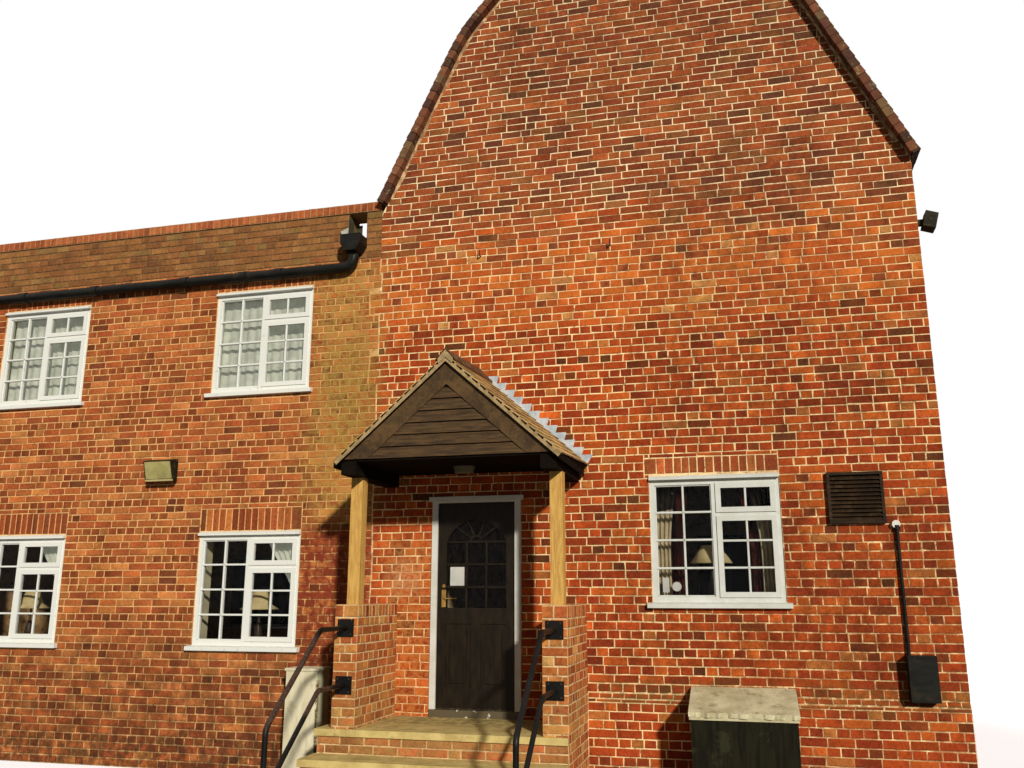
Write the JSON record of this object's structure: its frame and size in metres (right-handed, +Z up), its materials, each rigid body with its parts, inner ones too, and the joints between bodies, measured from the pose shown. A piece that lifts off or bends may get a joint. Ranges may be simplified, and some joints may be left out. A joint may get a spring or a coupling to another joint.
{
  "type": "oast house",
  "caption": "Brick oast house: a tall gabled block with a steep tiled roof, a flat-roofed wing with a parapet, casement windows and a timber porch over brick steps.",
  "frame": {"origin": "on the level ground at the foot of the gable's front face, on the gable's centre line", "axes": "+X to the right seen from the front and along the building's length, +Y into the building, +Z up"},
  "size_m": [11.4, 10.6228, 9.937],
  "materials": {
    "main_brick": "weathered brick in lime mortar",
    "wing_brick": "newer brick, parapet darkened by weather",
    "roof_tile": "plain clay tiles with lichen",
    "ridge_tile": "clay ridge tiles",
    "floor": "screeded floor",
    "flat_roof": "mineral felt",
    "coping": "brick on edge, weathered",
    "white_timber": "white gloss paint",
    "glazing": "clear window glass",
    "dark_timber": "dark brown stain",
    "oak": "weathered oak",
    "brass": "worn polished brass",
    "tread": "pressed concrete slabs with algae",
    "porch_brick": "orange-red brick in pale mortar",
    "porch_tile": "plain clay tiles",
    "lead": "weathered sheet lead",
    "lamp": "pale diffuser",
    "rail": "black paint",
    "vent": "dark brown plastic",
    "rainwater": "black plastic, green with algae in places",
    "floodlight": "dark powder coat",
    "housing": "black paint, stained",
    "housing_lid": "weathered grey-green sheet",
    "cupboard": "cream enclosure with a dark cap",
    "wall_pipe": "black plastic"
  },
  "bodies": {
    "building": {"front_wall_left": "main_brick", "front_wall_right": "main_brick", "front_wall_at_door": "main_brick", "front_gable": "main_brick", "side_walls": "main_brick", "back_wall": "main_brick", "roof_lower_slopes": "roof_tile", "roof_upper_left": "roof_tile", "roof_upper_right": "roof_tile", "ridge_tiles": "ridge_tile", "floors": "floor", "wing_front_wall": "wing_brick", "wing_end_wall": "wing_brick", "wing_back_wall": "wing_brick", "wing_roof": "flat_roof", "front_parapet": "wing_brick", "parapet_coping": "coping", "front_windows": "white_timber", "rear_windows": "white_timber", "window_glass": "glazing", "door_frame": "white_timber", "tread_slabs": "tread", "step_brickwork": "porch_brick", "dwarf_walls": "porch_brick", "porch_posts": "oak", "porch_eaves_boxes": "dark_timber", "porch_ceiling": "dark_timber", "porch_bargeboards": "dark_timber", "porch_gable_boards": "dark_timber", "porch_roof_left": "porch_tile", "porch_roof_right": "porch_tile", "porch_flashing": "lead", "porch_lamp": "lamp", "handrails": "rail", "louvred_vent": "vent", "rainwater_head": "rainwater", "rainwater_pipe": "rainwater", "floodlights": "floodlight", "housing_body": "housing", "housing_lid": "housing_lid", "service_cupboard": "cupboard", "wall_pipe": "wall_pipe"},
    "door": {"door_leaf": "dark_timber", "door_glass": "glazing", "door_handle": "brass"}
  },
  "joints": [
    {"name": "door_hinge", "type": "hinge", "parent": "building", "child": "door", "pos_m": [-1.199, 0.063, 0.672], "axis": [0, 0, -1], "range_deg": [0, 90]}
  ]
}
